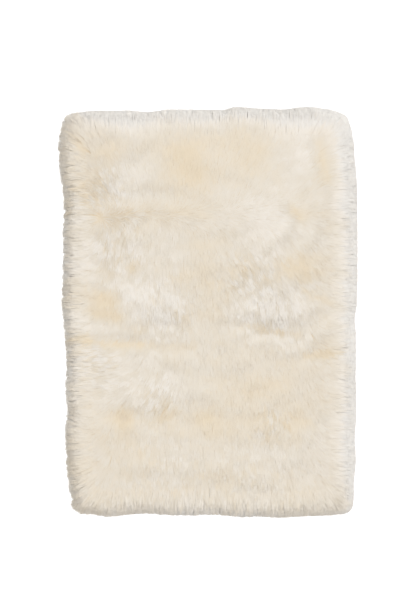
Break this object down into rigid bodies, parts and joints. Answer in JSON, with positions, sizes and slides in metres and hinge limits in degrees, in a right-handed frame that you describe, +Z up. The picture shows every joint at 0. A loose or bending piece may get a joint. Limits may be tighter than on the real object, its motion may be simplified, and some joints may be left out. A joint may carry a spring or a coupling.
{
  "type": "sheepskin rug",
  "caption": "Rectangular sheepskin rug lying flat: a thin tanned hide under a lumpy long-wool fleece that hangs over its edge in free locks all round.",
  "frame": {"origin": "on the floor under the middle of the rug", "axes": "+X along the rug's width, +Y along its length, +Z up out of the wool"},
  "size_m": [0.7906, 1.0894, 0.0505],
  "materials": {
    "wool": "soft, silky natural cream wool in long locks, with light yellowish patches",
    "hide": "matt suede flesh side of tanned sheepskin"
  },
  "bodies": {
    "root": {"hide": "hide", "fleece": "wool"}
  },
  "joints": []
}
